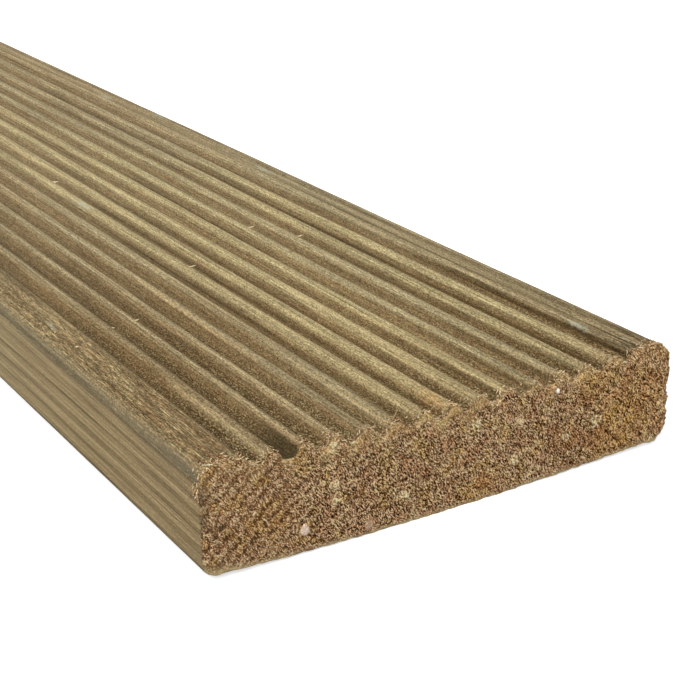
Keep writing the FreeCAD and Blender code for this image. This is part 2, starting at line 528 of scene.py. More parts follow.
groove_end_shade = groove_end_shade_share(own_y, HALF_LENGTH - x) * face
torn_reach = 1.1 * (1 + 0.6 * line_noise(s / 1.3, 9, 21))
torn_reach += 2.2 * hollow * between(run_y, -5, 15) * np.clip(0.5 + line_noise(s / 2.5, 4, 28), 0, 1)
torn_reach += 2.0 * between(run_y, 50, 58) * np.clip(0.5 + value_noise(s / 1.6, x / 5, 33), 0, 1.3) * face
torn = np.clip(1.4 - from_end / torn_reach - groove_end_shade, 0, 1)
lit_side = between(run_y, -38, -30) * between(run_y, 8, 0) + 0.8 * between(run_y, 40, 44)
# Painted shade deep in the grooves: strongest near the front end and in the near lanes, weaker in the bright
# lanes and far from the end, and moved between the two walls by how the light falls.
groove_shade = 0.58 + 0.5 * fading(35) - 0.6 * bright_lanes * (1 - fading(30))
groove_shade += 0.22 * value_noise(x / 120, number * 2.0, 22) - 0.3 * side * lit_side * between(hollow, 0.2, 0.7)
groove_shade += 0.25 * between(-run_y, 22, 32) - 0.15 * (1 - fading(250))
soil = between(-run_y, 8, 50) + 0.45 * bell(run_y + 17, 3.2)
soil += 0.3 * between(run_y, 44, 52) + 0.3 * fading(30)
soil += 0.5 * between(run_y, 48, 56) * fading(14)
soil = soil * face * np.clip(0.85 + 0.4 * value_noise(x / 45, lane * 2, 24), 0, 1.2)
soil = soil * (1 - near_land * (0.9 - 0.5 * fading(40)))
# A darker grey band along the rounded near edge of the face, uneven along the board.
near_edge_band = bell(s - STARTS[3] + 1.8, 1.9) * np.clip(0.8 + 0.5 * line_noise(x / 60, 5, 23), 0, 1)
flat_land = near_land * between(own_y, 0.8 - HALF_WIDTH, 2 - HALF_WIDTH)
granular = np.maximum(hollow * (0.4 + 0.6 * fading(40)), 0.3 * flat_land)
# Painted highlight along the middle of each ridge: stronger on the near ridges and uneven along the board.
crest_highlight = bell(from_groove(own_y, number + 0.5 * side), 0.5) * face * (1 - plainness)
crest_highlight = crest_highlight * np.maximum(between(-run_y, 12, 24), 0.15)
crest_highlight = crest_highlight * np.clip(0.55 + 0.9 * value_noise(lane * 3.7, x / 200, 34), 0, 1)
bleach = between(from_end, 60, 280) * np.where(face, 0.6, 1.4)
split = between(run_y, 52, 58) * fading(14)
far_corner = between(run_y, 45, 55)
far_lift = 0.15 * between(front_y, 38, 50)
end_stain = np.clip(0.4 + 1.2 * value_noise(front_y / 3, front_z / 4, 31), 0, 1)
end_stain = end_stain * np.exp(-(front_y + HALF_WIDTH) / 1.8)
tuft = np.clip(1.6 * soft_spots(front_y, front_z, TUFTS), 0, 1)

# Dark lines along the board: those inside the grooves are painted shade under the ridges' edges, and those on
# the ridges and lands are grain.
# number of the groove, distance from its middle, where the line begins and ends behind the front end, strength
DARK_LINES = ((12, 1.3, -20, 420, 1.0), (13, 2.2, -20, 110, 1.0), (13, 0.6, 130, 380, 0.6),
              (6, 1.2, -20, 240, 0.7), (7, 0.7, -20, 240, 0.65), (5, 1.1, -20, 200, 0.6),
              (4, 2.0, -20, 60, 0.5), (8, 2.3, -20, 60, 0.6), (9, 2.3, -20, 60, 0.5),
              (9, 0.6, 130, 260, 0.8), (10, 2.2, -20, 60, 0.6), (11, 1.7, -20, 400, 0.5),
              (8, 2.2, 250, 420, 0.3), (13, 5.15, -20, 420, 0.45), (13, 8.75, -20, 420, 0.45),
              (0, -12.05, -20, 110, 0.5), (0, -7.8, -20, 50, 0.5), (1, -3.6, -20, 45, 0.6),
              (5, -3.7, -20, 70, 0.6))
DARK_LINES += tuple((groove, 1.35, 70, 480, 0.33) for groove in range(2, 11))
# Pale lines along the ridges' edges and tops: painted highlights.
HIGHLIGHT_LINES = ((0, 2.6, -20, 60, 0.7), (4, 2.65, -20, 70, 0.7), (9, 4.0, 50, 150, 0.5), (10, 4.0, 50, 150, 0.4))


def drawn_line(groove, offset, begins, ends, strength):
    """A narrow bell across the face along a slowly wandering line, faded in and out along the board.

    The line is the narrower the higher it lies on the groove's wall.
    """
    behind = HALF_LENGTH - x
    wander = 0.2 * line_noise(x / 90, 7 * groove + offset, 25)
    width = max(0.95 - 0.25 * abs(offset), 0.5)
    line_shown = between(behind, begins, begins + 20) * between(behind, ends, ends - 30)
    return strength * bell(from_groove(own_y, groove) - offset - wander, width) * line_shown


shade_and_grain_line = np.clip(sum(drawn_line(*line) for line in DARK_LINES), 0, 1) * face
highlight_line = np.clip(sum(drawn_line(*line) for line in HIGHLIGHT_LINES), 0, 1) * face


def give_values(piece, name, values):
    """Stores one number for each point of a piece, for its material to read."""
    held = piece.data.attributes.new(name, "FLOAT", "POINT")
    held.data.foreach_set("value", np.asarray(values, dtype=np.float32).ravel())


def mark_board(name, run_values, front_values=0.0, back_values=0.0):
    """Stores a mark on the board: its numbers on the long faces, on the front end and on the back end."""
    groups = ((run_values, x.shape), (front_values, front_y.shape), (back_values, back_y.shape))
    give_values(board, name, np.concatenate([np.broadcast_to(v, shape).ravel() for v, shape in groups]))


FACE_MARKS = {
    "tone": tone, "hollow": hollow, "brown": eased(brown), "groove_shade": np.clip(groove_shade, 0, 1) * face,
    "soil": soil, "groove_end_shade": groove_end_shade, "granular": granular, "crest_highlight": crest_highlight, "near_edge_band": near_edge_band, "bleach": bleach,
    "shade_and_grain_line": shade_and_grain_line, "highlight_line": highlight_line, "near_land": flat_land, "upper": 1.0 * face,
    "front": fading(30), "split": split,
}
for name, values in FACE_MARKS.items():
    mark_board(name, values)
front_place = (front_y, front_z)
back_place = (back_y, back_z)
mark_board("soft", 0.3, ring_softness(*front_place, FRONT_SEED), ring_softness(*back_place, BACK_SEED))
mark_board("calm", -0.8, calmness(front_y), calmness(back_y))
mark_board("plainness", plainness, 1.0, 1.0)
mark_board("torn", torn, 1.0, 1.0)
mark_board("lift", -0.12 * far_corner, front_lift + far_lift, back_lift)
mark_board("warmth", warmth(run_y, run_z), warmth(*front_place), warmth(*back_place))
mark_board("pale", 0.5 - 0.2 * far_corner, end_paleness(*front_place), end_paleness(*back_place))
mark_board("strip", 0.0, bottom_strip(*front_place), bottom_strip(*back_place))
mark_board("tuft", 0.0, tuft)
mark_board("end_stain", 0.0, end_stain)


# The finish of the long faces: bare treated softwood, olive and tan, striped by its growth rings and grain.
# Soil and treatment have browned the grooves and painted shade darkens them further, pale fuzz lies in them,
# and salt and resin have left spots. Painted highlights run along the ridges.


def colour(red, green, blue):
    """A colour given on the 0 to 255 screen scale, as the linear values that shaders take."""
    screen = np.array([red, green, blue]) / 255
    linear = np.where(screen <= 0.04045, screen / 12.92, ((screen + 0.055) / 1.055) ** 2.4)
    return (*(float(v) for v in linear), 1.0)


def grey(value):
    return (value, value, value, 1.0)


def add_node(tree, kind, inputs=None, **settings):
    """A shader node with its settings. Each input is a value, a socket, or the name of a stored mark."""
    made = tree.nodes.new(kind)
    for key, value in settings.items():
        setattr(made, key, value)
    for key, value in (inputs or {}).items():
        if isinstance(value, str):
            value = add_node(tree, "ShaderNodeAttribute", attribute_name=value).outputs["Fac"]
        if isinstance(value, bpy.types.NodeSocket):
            tree.links.new(value, made.inputs[key])
        else:
            made.inputs[key].default_value = value
    return made


def worked(tree, operation, first, second=0.0, third=0.0, clamp=False):
    """One sum of up to three numbers, each a value, a socket or a stored mark's name."""
    inputs = {0: first, 1: second, 2: third}
    return add_node(tree, "ShaderNodeMath", inputs, operation=operation, use_clamp=clamp).outputs[0]


def times(tree, first, second):
    return worked(tree, "MULTIPLY", first, second)


def scaled(tree, value, gain, base):
    """A value times a gain, added to a base."""
    return worked(tree, "MULTIPLY_ADD", value, gain, base)


def vector(tree, operation, first, second=(0.0, 0.0, 0.0)):
    """One sum of two vectors: a vector, or the number that a dot product or a length gives."""
    made = add_node(tree, "ShaderNodeVectorMath", {0: first, 1: second}, operation=operation)
    return made.outputs["Value" if operation in ("DOT_PRODUCT", "LENGTH") else "Vector"]


def mixed(tree, share, first, second, blend="MIX"):
    inputs = {0: share, 6: first, 7: second}
    return add_node(tree, "ShaderNodeMix", inputs, data_type="RGBA", blend_type=blend).outputs[2]


def tinted(tree, under, share, gain, shade, blend="MIX"):
    """A colour laid over another one, by a share times a gain."""
    return mixed(tree, times(tree, share, gain), under, shade, blend)


def ramp(tree, value, stops):
    """A colour or grey that changes with a value, by stops of place and colour."""
    made = add_node(tree, "ShaderNodeValToRGB", {0: value})
    elements = made.color_ramp.elements
    while len(elements) < len(stops):
        elements.new(0.5)
    for element, (place, shade) in zip(elements, stops):
        element.position = place
        element.color = shade
    return made.outputs[0]


def grained(tree, under, strength, texture, reach, dark, light):
    """A colour that a noise darkens and lightens: overlaid with a grey that goes from dark to light."""
    stops = [(0.5 - reach, grey(dark)), (0.5 + reach, grey(light))]
    return mixed(tree, strength, under, ramp(tree, texture, stops), "OVERLAY")


def fade(tree, value, low, high):
    """A share that goes smoothly from none at one value to all at another."""
    inputs = {"Value": value, "From Min": low, "From Max": high}
    return add_node(tree, "ShaderNodeMapRange", inputs, interpolation_type="SMOOTHSTEP").outputs[0]


def new_material(name):
    made = bpy.data.materials.new(name)
    made.use_nodes = True
    made.node_tree.nodes.clear()
    return made, made.node_tree


def in_millimetres(tree, along=1.0, across=1.0):
    """The piece's own coordinates in millimetres, multiplied along the board and across it."""
    place = add_node(tree, "ShaderNodeTexCoord").outputs["Object"]
    scale = (along / MM, across / MM, across / MM)
    return add_node(tree, "ShaderNodeMapping", {"Vector": place, "Scale": scale}).outputs[0]


def noise_at(tree, place, detail, roughness):
    inputs = {"Vector": place, "Scale": 1.0, "Detail": detail, "Roughness": roughness}
    return add_node(tree, "ShaderNodeTexNoise", inputs).outputs["Fac"]


def noise(tree, along, across, detail, roughness):
    return noise_at(tree, in_millimetres(tree, along, across), detail, roughness)


def growth_rings(tree):
    """How far through a year's ring a point lies: distance from the pith, with a slow wander, in rings."""
    place = add_node(tree, "ShaderNodeSeparateXYZ", {0: in_millimetres(tree)})
    pith_y = worked(tree, "SUBTRACT", place.outputs["Y"], PITH_Y)
    pith_z = worked(tree, "SUBTRACT", place.outputs["Z"], PITH_Z)
    radius = worked(tree, "SQRT", scaled(tree, pith_y, pith_y, times(tree, pith_z, pith_z)))
    wandered = scaled(tree, noise(tree, 0.0045, 0.03, 2.0, 0.55), 5.0, radius)
    return worked(tree, "FRACT", worked(tree, "DIVIDE", wandered, RING_WIDTH))


OLIVE_TAN = colour(180, 164, 121)
GREY_TAN = colour(165, 150, 114)
YELLOW_TAN = colour(187, 169, 124)
RUDDY_TAN = colour(172, 151, 112)
LATE_WOOD = colour(112, 95, 66)
GROOVE_BROWN = colour(123, 99, 64)
# GROOVE_DARK is painted shade deep in the grooves, and also the dark of their fuzz.
GROOVE_DARK = colour(70, 50, 26)
GROOVE_RUDDY = colour(116, 81, 56)
GROOVE_END_SHADOW = colour(76, 64, 40)
# The dark of these lines: painted shade inside the grooves, and grain on the ridges and lands.
LINE_DARK = colour(72, 54, 28)
FAR_PALE = colour(216, 202, 166)
# The pale of the painted highlights along the ridges.
CREST_HIGHLIGHT = colour(212, 192, 146)
NEAR_EDGE_GREY = colour(106, 99, 80)
FUZZ_PALE = colour(208, 187, 136)
SALT_PALE = colour(204, 210, 188)
SOIL_BROWN = colour(101, 82, 54)
RESIN_AMBER = colour(176, 122, 54)

# distance from the front end, place across the face, and how far the spot spreads along and across
SALT_SPOTS = ((101.0, -64.7, 6.0, 0.9), (304.0, 65.5, 11.0, 1.6), (152.0, -5.5, 4.0, 0.9),
              (208.0, -10.0, 9.0, 1.6), (24.5, 58.3, 6.5, 0.8), (8.8, 61.8, 2.5, 0.4),
              (350.0, 61.0, 9.0, 1.8), (208.0, 61.5, 9.0, 1.6))
RESIN_SPOT = (9.0, -1.4, 9.0, 2.6)
SPOT_DEPTH = 6.0


def face_patch(tree, behind, across_face, spread_along, spread_across):
    """A ragged spot on the walking face: all of it at its middle and none past its spread.

    The distance from its middle is divided by the spread along, across and down, and made uneven by noise.
    """
    middle = (HALF_LENGTH - behind, across_face, THICKNESS)
    offset = vector(tree, "SUBTRACT", in_millimetres(tree), middle)
    reach = vector(tree, "LENGTH", vector(tree, "DIVIDE", offset, (spread_along, spread_across, SPOT_DEPTH)))
    return fade(tree, scaled(tree, noise(tree, 0.5, 1.2, 3.0, 0.7), 2.4, reach), 2.2, 1.2)


softwood, tree = new_material("treated_softwood")
rings = ramp(tree, growth_rings(tree), [(0.0, grey(0.1)), (0.12, grey(0.0)), (0.45, grey(0.08)),
                                        (0.78, grey(0.8)), (0.9, grey(1.0)), (1.0, grey(0.1))])
streaks = noise(tree, 0.03, 1.3, 3.0, 0.6)
threads = noise(tree, 0.014, 2.4, 2.0, 0.6)
grain = noise(tree, 0.35, 2.2, 3.0, 0.7)
fuzz = noise(tree, 1.5, 2.8, 2.0, 0.75)
fine = noise(tree, 1.4, 2.6, 2.0, 0.7)
mottle = noise(tree, 0.16, 0.5, 3.0, 0.65)
tear = noise(tree, 0.07, 0.9, 3.0, 0.65)
splinters = noise(tree, 0.1, 1.6, 2.0, 0.6)
lint = noise(tree, 0.36, 4.4, 2.0, 0.65)

tone_value = worked(tree, "MULTIPLY_ADD", "tone", 0.5, 0.5, clamp=True)
wood = ramp(tree, tone_value, [(0.15, RUDDY_TAN), (0.4, GREY_TAN), (0.6, OLIVE_TAN), (0.85, YELLOW_TAN)])
wood = tinted(tree, wood, rings, scaled(tree, "plainness", 0.35, 0.25), LATE_WOOD)
wood = tinted(tree, wood, "soil", 0.5, SOIL_BROWN)
wood = tinted(tree, wood, "brown", 0.8, GROOVE_BROWN)
wood = tinted(tree, wood, fade(tree, mottle, 0.5, 0.68), times(tree, "brown", 0.55), GROOVE_RUDDY)
wood = tinted(tree, wood, "front", 0.16, GROOVE_RUDDY)
# Painted highlights along the ridges' crests.
wood = tinted(tree, wood, "crest_highlight", times(tree, fade(tree, fuzz, 0.4, 0.6), 0.85), CREST_HIGHLIGHT)
# Painted shade deep in the grooves.
wood = tinted(tree, wood, times(tree, fade(tree, "hollow", 0.35, 1.0), "groove_shade"), 0.75, GROOVE_DARK)
# Painted shadow in the front end of one groove.
wood = tinted(tree, wood, "groove_end_shade", 0.92, GROOVE_END_SHADOW)
# Painted shade lines inside the grooves, and grain lines on the ridges and lands.
wood = tinted(tree, wood, "shade_and_grain_line", 0.9, LINE_DARK)
# Painted highlight lines along the ridges.
wood = tinted(tree, wood, "highlight_line", 0.8, CREST_HIGHLIGHT)
wood = tinted(tree, wood, "bleach", 0.2, FAR_PALE)
wood = tinted(tree, wood, "near_land", 0.45, GROOVE_BROWN)
wood = tinted(tree, wood, fade(tree, tear, 0.5, 0.66), times(tree, "near_land", 0.5), GROOVE_RUDDY)
wood = tinted(tree, wood, fade(tree, tear, 0.5, 0.36), times(tree, "near_land", 0.4), FUZZ_PALE)
wood = tinted(tree, wood, face_patch(tree, *RESIN_SPOT), 0.35, RESIN_AMBER)
wood = grained(tree, wood, 0.42, threads, 0.15, 0.2, 0.8)
wood = grained(tree, wood, scaled(tree, "near_land", 0.25, 0.5), streaks, 0.2, 0.25, 0.75)
wood = grained(tree, wood, "split", splinters, 0.12, 0.0, 0.95)
wood = grained(tree, wood, "near_land", lint, 0.2, 0.0, 0.95)
wood = grained(tree, wood, scaled(tree, "upper", 0.25, 0.25), grain, 0.2, 0.2, 0.8)
fine_strength = scaled(tree, "hollow", -0.1, scaled(tree, "upper", 0.4, 0.55))
wood = grained(tree, wood, fine_strength, fine, 0.2, 0.15, 0.85)
smooth_share = worked(tree, "MAXIMUM", "groove_end_shade", "shade_and_grain_line")
furred = times(tree, "granular", worked(tree, "MULTIPLY_ADD", smooth_share, -0.95, 1.0, clamp=True))
wood = tinted(tree, wood, fade(tree, fuzz, 0.5, 0.66), furred, FUZZ_PALE)
wood = tinted(tree, wood, fade(tree, fuzz, 0.49, 0.36), times(tree, furred, 0.9), GROOVE_DARK)
wood = tinted(tree, wood, "near_edge_band", 0.8, NEAR_EDGE_GREY)
for spot in SALT_SPOTS:
    wood = tinted(tree, wood, face_patch(tree, *spot), 0.5, SALT_PALE)


# The finish of the sawn ends: torn wood, from dark pits to straw-coloured fibre, in dashes along the saw's
# stroke, ruddy, golden or yellow in patches and pale along its upper and lower edge. It reaches a little way
# over the frayed edges of the long faces. Both finishes are one material, matt all over. The dark of the pits
# is partly painted shade.

END_PIT_SHADE = colour(24, 6, 0)
END_DULL = colour(84, 43, 13)
END_BROWN = colour(146, 94, 47)
END_TAN = colour(202, 150, 93)
END_STRAW = colour(255, 231, 187)
END_GREY = colour(152, 128, 98)
WARM_TINT = colour(255, 234, 170)
RUDDY_TINT = colour(238, 214, 200)
GOLD_TINT = colour(250, 240, 200)
TUFT_PALE = colour(255, 232, 172)
RIM_PALE = colour(214, 186, 122)
STRIP_PALE = colour(200, 180, 136)
END_STAIN = colour(92, 82, 62)
STROKE_WIDTH = 0.26
STROKE_LENGTH = 0.64
STROKE_DEPTH = 1.2
BOARD_ROUGHNESS = 0.85
BOARD_SHEEN = 0.08
BUMP_STRENGTH = 0.7
BUMP_DEPTH = 0.0006


def torn_strokes(tree):
    """Noise and small cells, both drawn out along the saw's stroke: the torn bundles of fibre on a sawn end."""
    place = in_millimetres(tree)
    over = vector(tree, "DOT_PRODUCT", place, (0.0, *STROKE_ACROSS / STROKE_WIDTH))
    along = vector(tree, "DOT_PRODUCT", place, (0.0, *STROKE_ALONG / STROKE_LENGTH))
    inwards = vector(tree, "DOT_PRODUCT", place, (1.0 / STROKE_DEPTH, 0.0, 0.0))
    drawn_out = add_node(tree, "ShaderNodeCombineXYZ", {0: over, 1: along, 2: inwards}).outputs[0]
    cells = add_node(tree, "ShaderNodeTexVoronoi", {"Vector": drawn_out, "Scale": 1.4}).outputs["Color"]
    return noise_at(tree, drawn_out, 1.0, 0.5), cells


def swing(tree, texture, gain, base):
    """How far a noise is from its middle, times a gain, added to a base."""
    return scaled(tree, worked(tree, "SUBTRACT", texture, 0.5), gain, base)


def wood_surface(tree, shade, roughness, sheen, normal=None):
    """The surface of a wood: its colour, its even roughness and sheen, and its fine relief if it has one."""
    inputs = {"Base Color": shade, "Roughness": roughness, "Specular IOR Level": sheen}
    if normal is not None:
        inputs["Normal"] = normal
    surface = add_node(tree, "ShaderNodeBsdfPrincipled", inputs)
    add_node(tree, "ShaderNodeOutputMaterial", {"Surface": surface.outputs[0]})


speck = noise(tree, 4.4, 4.4, 2.0, 0.7)
blend = noise(tree, 0.17, 0.17, 2.0, 0.5)
strokes, cut_cells = torn_strokes(tree)
dashes = swing(tree, strokes, scaled(tree, "soft", 1.0, 2.2), 0.0)
dashes = swing(tree, cut_cells, 1.6, dashes)
dashes = swing(tree, speck, 2.9, dashes)
# The colour runs from pit to straw with the height of the torn wood, the mesh's relief among it. The dark of
# the low places is partly painted shade.
height = scaled(tree, "soft", -0.33, 0.605)
for name, gain in (("calm", 0.12), ("tuft", 0.2), ("pale", 0.16), ("lift", 0.8)):
    height = scaled(tree, name, gain, height)
height = scaled(tree, dashes, scaled(tree, "calm", -0.52, 1.3), height)
end_wood = ramp(tree, height, [(0.0, END_PIT_SHADE), (0.3, END_DULL), (0.55, END_BROWN), (0.8, END_TAN),
                               (1.0, END_STRAW)])
end_wood = tinted(tree, end_wood, "calm", 0.2, END_GREY)
ruddy_gain = scaled(tree, "calm", -0.6, 0.75)
end_wood = tinted(tree, end_wood, fade(tree, blend, 0.46, 0.6), ruddy_gain, RUDDY_TINT, "MULTIPLY")
end_wood = tinted(tree, end_wood, fade(tree, blend, 0.5, 0.36), 0.7, GOLD_TINT, "MULTIPLY")
end_wood = tinted(tree, end_wood, "warmth", 0.55, WARM_TINT, "MULTIPLY")
end_wood = tinted(tree, end_wood, "pale", 0.45, RIM_PALE)
end_wood = tinted(tree, end_wood, "strip", 0.85, STRIP_PALE)
end_wood = tinted(tree, end_wood, "tuft", 0.15, TUFT_PALE)
end_wood = tinted(tree, end_wood, "end_stain", 0.7, END_STAIN)
wood = mixed(tree, fade(tree, swing(tree, speck, 0.9, "torn"), 0.3, 0.6), wood, end_wood)

relief = scaled(tree, fuzz, scaled(tree, "granular", 1.2, 0.1), times(tree, grain, 0.4))
relief = scaled(tree, strokes, times(tree, "torn", 2.4), relief)
bump_inputs = {"Strength": BUMP_STRENGTH, "Distance": BUMP_DEPTH, "Height": relief}
bump = add_node(tree, "ShaderNodeBump", bump_inputs).outputs[0]
wood_surface(tree, wood, BOARD_ROUGHNESS, BOARD_SHEEN, bump)
board.data.materials.append(softwood)


# The torn fibres of the sawn ends: the blade bent and broke the fibre bundles instead of cutting them,
# so each end bristles with short pale splinters. They are still part of the wood that they stand on.

FRONT_FIBRES = 10000
BACK_FIBRES = 4000
FIBRE_DARK = colour(76, 43, 20)
FIBRE_BROWN = colour(154, 106, 62)
FIBRE_STRAW = colour(244, 211, 162)
FIBRE_PALE = colour(255, 241, 198)
FIBRE_ROUGHNESS = 0.8
FIBRE_SHEEN = 0.1
ROOT_SUNK = 0.12
WAIST_AT = 0.55
WAIST_BEND = 0.3
WAIST_WIDTH = 0.75
SPIKE_SIDES = np.array([[0, 1, 4, 3], [1, 2, 5, 4], [2, 0, 3, 5]])
SPIKE_CAPS = np.array([[3, 4, 6], [4, 5, 6], [5, 3, 6], [2, 1, 0]])
SPIKE_STRAW = np.array([0.5, 0.5, 0.5, 0.85, 0.85, 0.85, 1.0])

fibre_wood, tree = new_material("torn_fibre")
fibre_colour = ramp(tree, "straw", [(0.0, FIBRE_DARK), (0.45, FIBRE_BROWN), (0.85, FIBRE_STRAW),
                                    (1.0, FIBRE_PALE)])
wood_surface(tree, fibre_colour, FIBRE_ROUGHNESS, FIBRE_SHEEN)


def unit(vectors):
    return vectors / np.linalg.norm(vectors, axis=-1, keepdims=True)


def lay_fibres(name, roots, along, lengths, widths, curl, straw):
    """Splinters as closed three-sided spikes: a ring at the root, a smaller ring half way, and a tip.

    A spike follows its direction and is carried off it by its curl, as the square of the way along.
    """
    along = unit(along)
    helper = np.where(np.abs(along[:, 2:]) < 0.9, (0.0, 0.0, 1.0), (0.0, 1.0, 0.0))
    side = unit(np.cross(helper, along))
    other = np.cross(along, side)
    turn = 2 * math.pi * np.arange(3) / 3
    ring = np.cos(turn)[None, :, None] * side[:, None] + np.sin(turn)[None, :, None] * other[:, None]
    way = (lengths[:, None] * along)[:, None]
    bend = (lengths[:, None] * curl)[:, None]
    thick = widths[:, None, None] / 2
    sunk = roots[:, None] - ROOT_SUNK * way
    foot = sunk + thick * ring
    waist = sunk + WAIST_AT * way + WAIST_BEND * bend + WAIST_WIDTH * thick * ring
    tip = sunk + way + bend
    points = np.concatenate([foot, waist, tip], axis=1).reshape(-1, 3)
    first = len(SPIKE_STRAW) * np.arange(len(roots))[:, None, None]
    piece = lay_mesh(name, points, (first + SPIKE_SIDES).reshape(-1, 4), (first + SPIKE_CAPS).reshape(-1, 3))
    give_values(piece, "straw", straw[:, None] * SPIKE_STRAW)
    piece.data.materials.append(fibre_wood)


def end_fibres(name, points, outward, count, seed):
    """Splinters on a sawn end: rooted on points of its grid, thinned in the soft rings, and bent at random."""
    pick = np.random.default_rng(seed)
    flat = points.reshape(-1, 3)
    soft = ring_softness(flat[:, 1], flat[:, 2], seed)
    steep = np.maximum(between(np.abs(flat[:, 1] - PITH_Y), 10, 55), 0.5)
    chance = (1.0 - 0.95 * soft * steep) * (1 - bottom_strip(flat[:, 1], flat[:, 2]))
    chosen = pick.choice(len(flat), count, replace=False, p=chance / chance.sum())
    roots = flat[chosen] + pick.normal(0, 0.08, (count, 3)) * (0, 1, 1)
    heading = np.sign(pick.uniform(-1, 1, (count, 1)))
    spread = heading * STROKE_ALONG + pick.normal(0, 0.14, (count, 2))
    along = np.concatenate([outward * pick.uniform(0.02, 0.4, (count, 1)), spread], axis=1)
    curl = np.concatenate([np.zeros((count, 1)), pick.normal(0, 0.07, (count, 2))], axis=1)
    splintered = 1 + between(roots[:, 1], 40, 68)
    lengths = np.clip(pick.lognormal(-0.75, 0.4, count), 0.25, 1.3) * splintered**0.5
    widths = pick.uniform(0.07, 0.15, count) * splintered**0.7
    straw = np.clip(pick.normal(0.55, 0.36, count) - 0.3 * soft[chosen] * steep[chosen], 0.0, 1)
    lay_fibres(name, roots, along, lengths, widths, curl, straw)


end_fibres("front_end_fibres", front_points, 1.0, FRONT_FIBRES, FRONT_SEED)
end_fibres("back_end_fibres", back_points, -1.0, BACK_FIBRES, BACK_SEED)


# The fibres over the arris: where the blade left the face it broke bundles out of the ridges and lands, so
# the upper edge of each end is furred, and here and there a longer shaving curls away from it.

ARRIS_START = 1.3
ARRIS_REACH = 1.2
SHAVING_SHARE = 0.03
SHAVING_STRETCH = 2.2


def arris_fibres(name, end, count, seed):
    """Fibres rooted just behind the upper edge of a sawn end: thinned away from it, bent up and forwards."""
    pick = np.random.default_rng(seed)
    behind = ARRIS_START + np.clip(pick.exponential(ARRIS_REACH, count), 0, 6)
    place_x = end * (HALF_LENGTH - behind)
    place_s = pick.uniform(STARTS[2] - 4, STARTS[3] + 4, count)
    kept = groove_end_shade_share(outline_y(place_s), HALF_LENGTH - place_x) < 0.5
    roots, normals = long_surface(place_x[kept], place_s[kept])[:2]
    count = len(roots)
    forward = np.array([end, 0.0, 0.0])
    sideways = np.cross(normals, forward)
    along = pick.uniform(0.3, 1.0, (count, 1)) * forward + pick.uniform(0.1, 0.8, (count, 1)) * normals
    along = along + pick.normal(0, 0.45, (count, 1)) * sideways
    lengths = np.clip(pick.lognormal(-0.3, 0.4, count), 0.35, 1.7)
    lengths = np.where(pick.uniform(0, 1, count) < SHAVING_SHARE, SHAVING_STRETCH * lengths, lengths)
    widths = pick.uniform(0.1, 0.38, count)
    curl = pick.normal(0, 0.3, (count, 1)) * sideways + pick.normal(0, 0.2, (count, 1)) * normals
    straw = np.clip(pick.normal(0.85, 0.4, count), 0.0, 1.4)
    lay_fibres(name, roots, along, lengths, widths, curl, straw)


arris_fibres("front_arris_fibres", end=1.0, count=3200, seed=80)
arris_fibres("back_arris_fibres", end=-1.0, count=1200, seed=81)


# The tufts on the front end: small mats of pale fibre, of the board's own wood, that the blade has rubbed
# together and pressed on. Each stands a little proud of the torn wood.

TUFT_FIBRES = 240
TUFT_STANDS = 0.25

pick = np.random.default_rng(82)
flat = front_points.reshape(-1, 3)
chance = soft_spots(flat[:, 1], flat[:, 2], TUFTS)
roots = flat[pick.choice(len(flat), TUFT_FIBRES, p=chance / chance.sum())]
roots[:, 0] = np.maximum(roots[:, 0], SAWN_X) + pick.uniform(0, TUFT_STANDS, TUFT_FIBRES)
outwards = pick.uniform(0.1, 0.8, (TUFT_FIBRES, 1))
along = np.concatenate([outwards, pick.normal(0, 0.6, (TUFT_FIBRES, 2))], axis=1)
lengths = pick.uniform(0.4, 1.1, TUFT_FIBRES)
widths = pick.uniform(0.2, 0.5, TUFT_FIBRES)
curl = pick.normal(0, 0.3, (TUFT_FIBRES, 3))
straw = np.clip(pick.normal(1.6, 0.5, TUFT_FIBRES), 0.5, 2)
lay_fibres("pressed_tufts", roots, along, lengths, widths, curl, straw)


# The chips on the front end: thin flakes of pale wood that the saw left pressed into the torn fibres.
# Each is a flat dome with a ragged outline, and its foot is sunk into the end.

CHIP_DULL = colour(146, 112, 84)
CHIP_PALE = colour(222, 194, 168)
CHIP_WHITE = colour(252, 244, 232)
CHIP_ROUGHNESS = 0.85
CHIP_SHEEN = 0.18
CHIP_HEIGHT = 0.36
CHIP_SUNK = 0.7
CHIP_CORNERS = 20
CHIP_RINGS = 4
CHIP_POINTS = CHIP_RINGS * CHIP_CORNERS + 2
CHIP_SEED = 83

# middle across and up, half width, half height, and how pale
CHIPS = ((-43.3, 6.8, 1.2, 1.5, -0.5), (-25.4, 2.9, 1.25, 1.15, -0.8), (31.9, 24.7, 0.5, 0.7, 0.6))

chip_wood, tree = new_material("chip_wood")
chip_shade = scaled(tree, noise(tree, 3.2, 3.2, 3.0, 0.75), 2.4, "paleness")
chip_colour = ramp(tree, chip_shade, [(0.2, CHIP_DULL), (0.8, CHIP_PALE), (1.0, CHIP_WHITE)])
wood_surface(tree, chip_colour, CHIP_ROUGHNESS, CHIP_SHEEN)


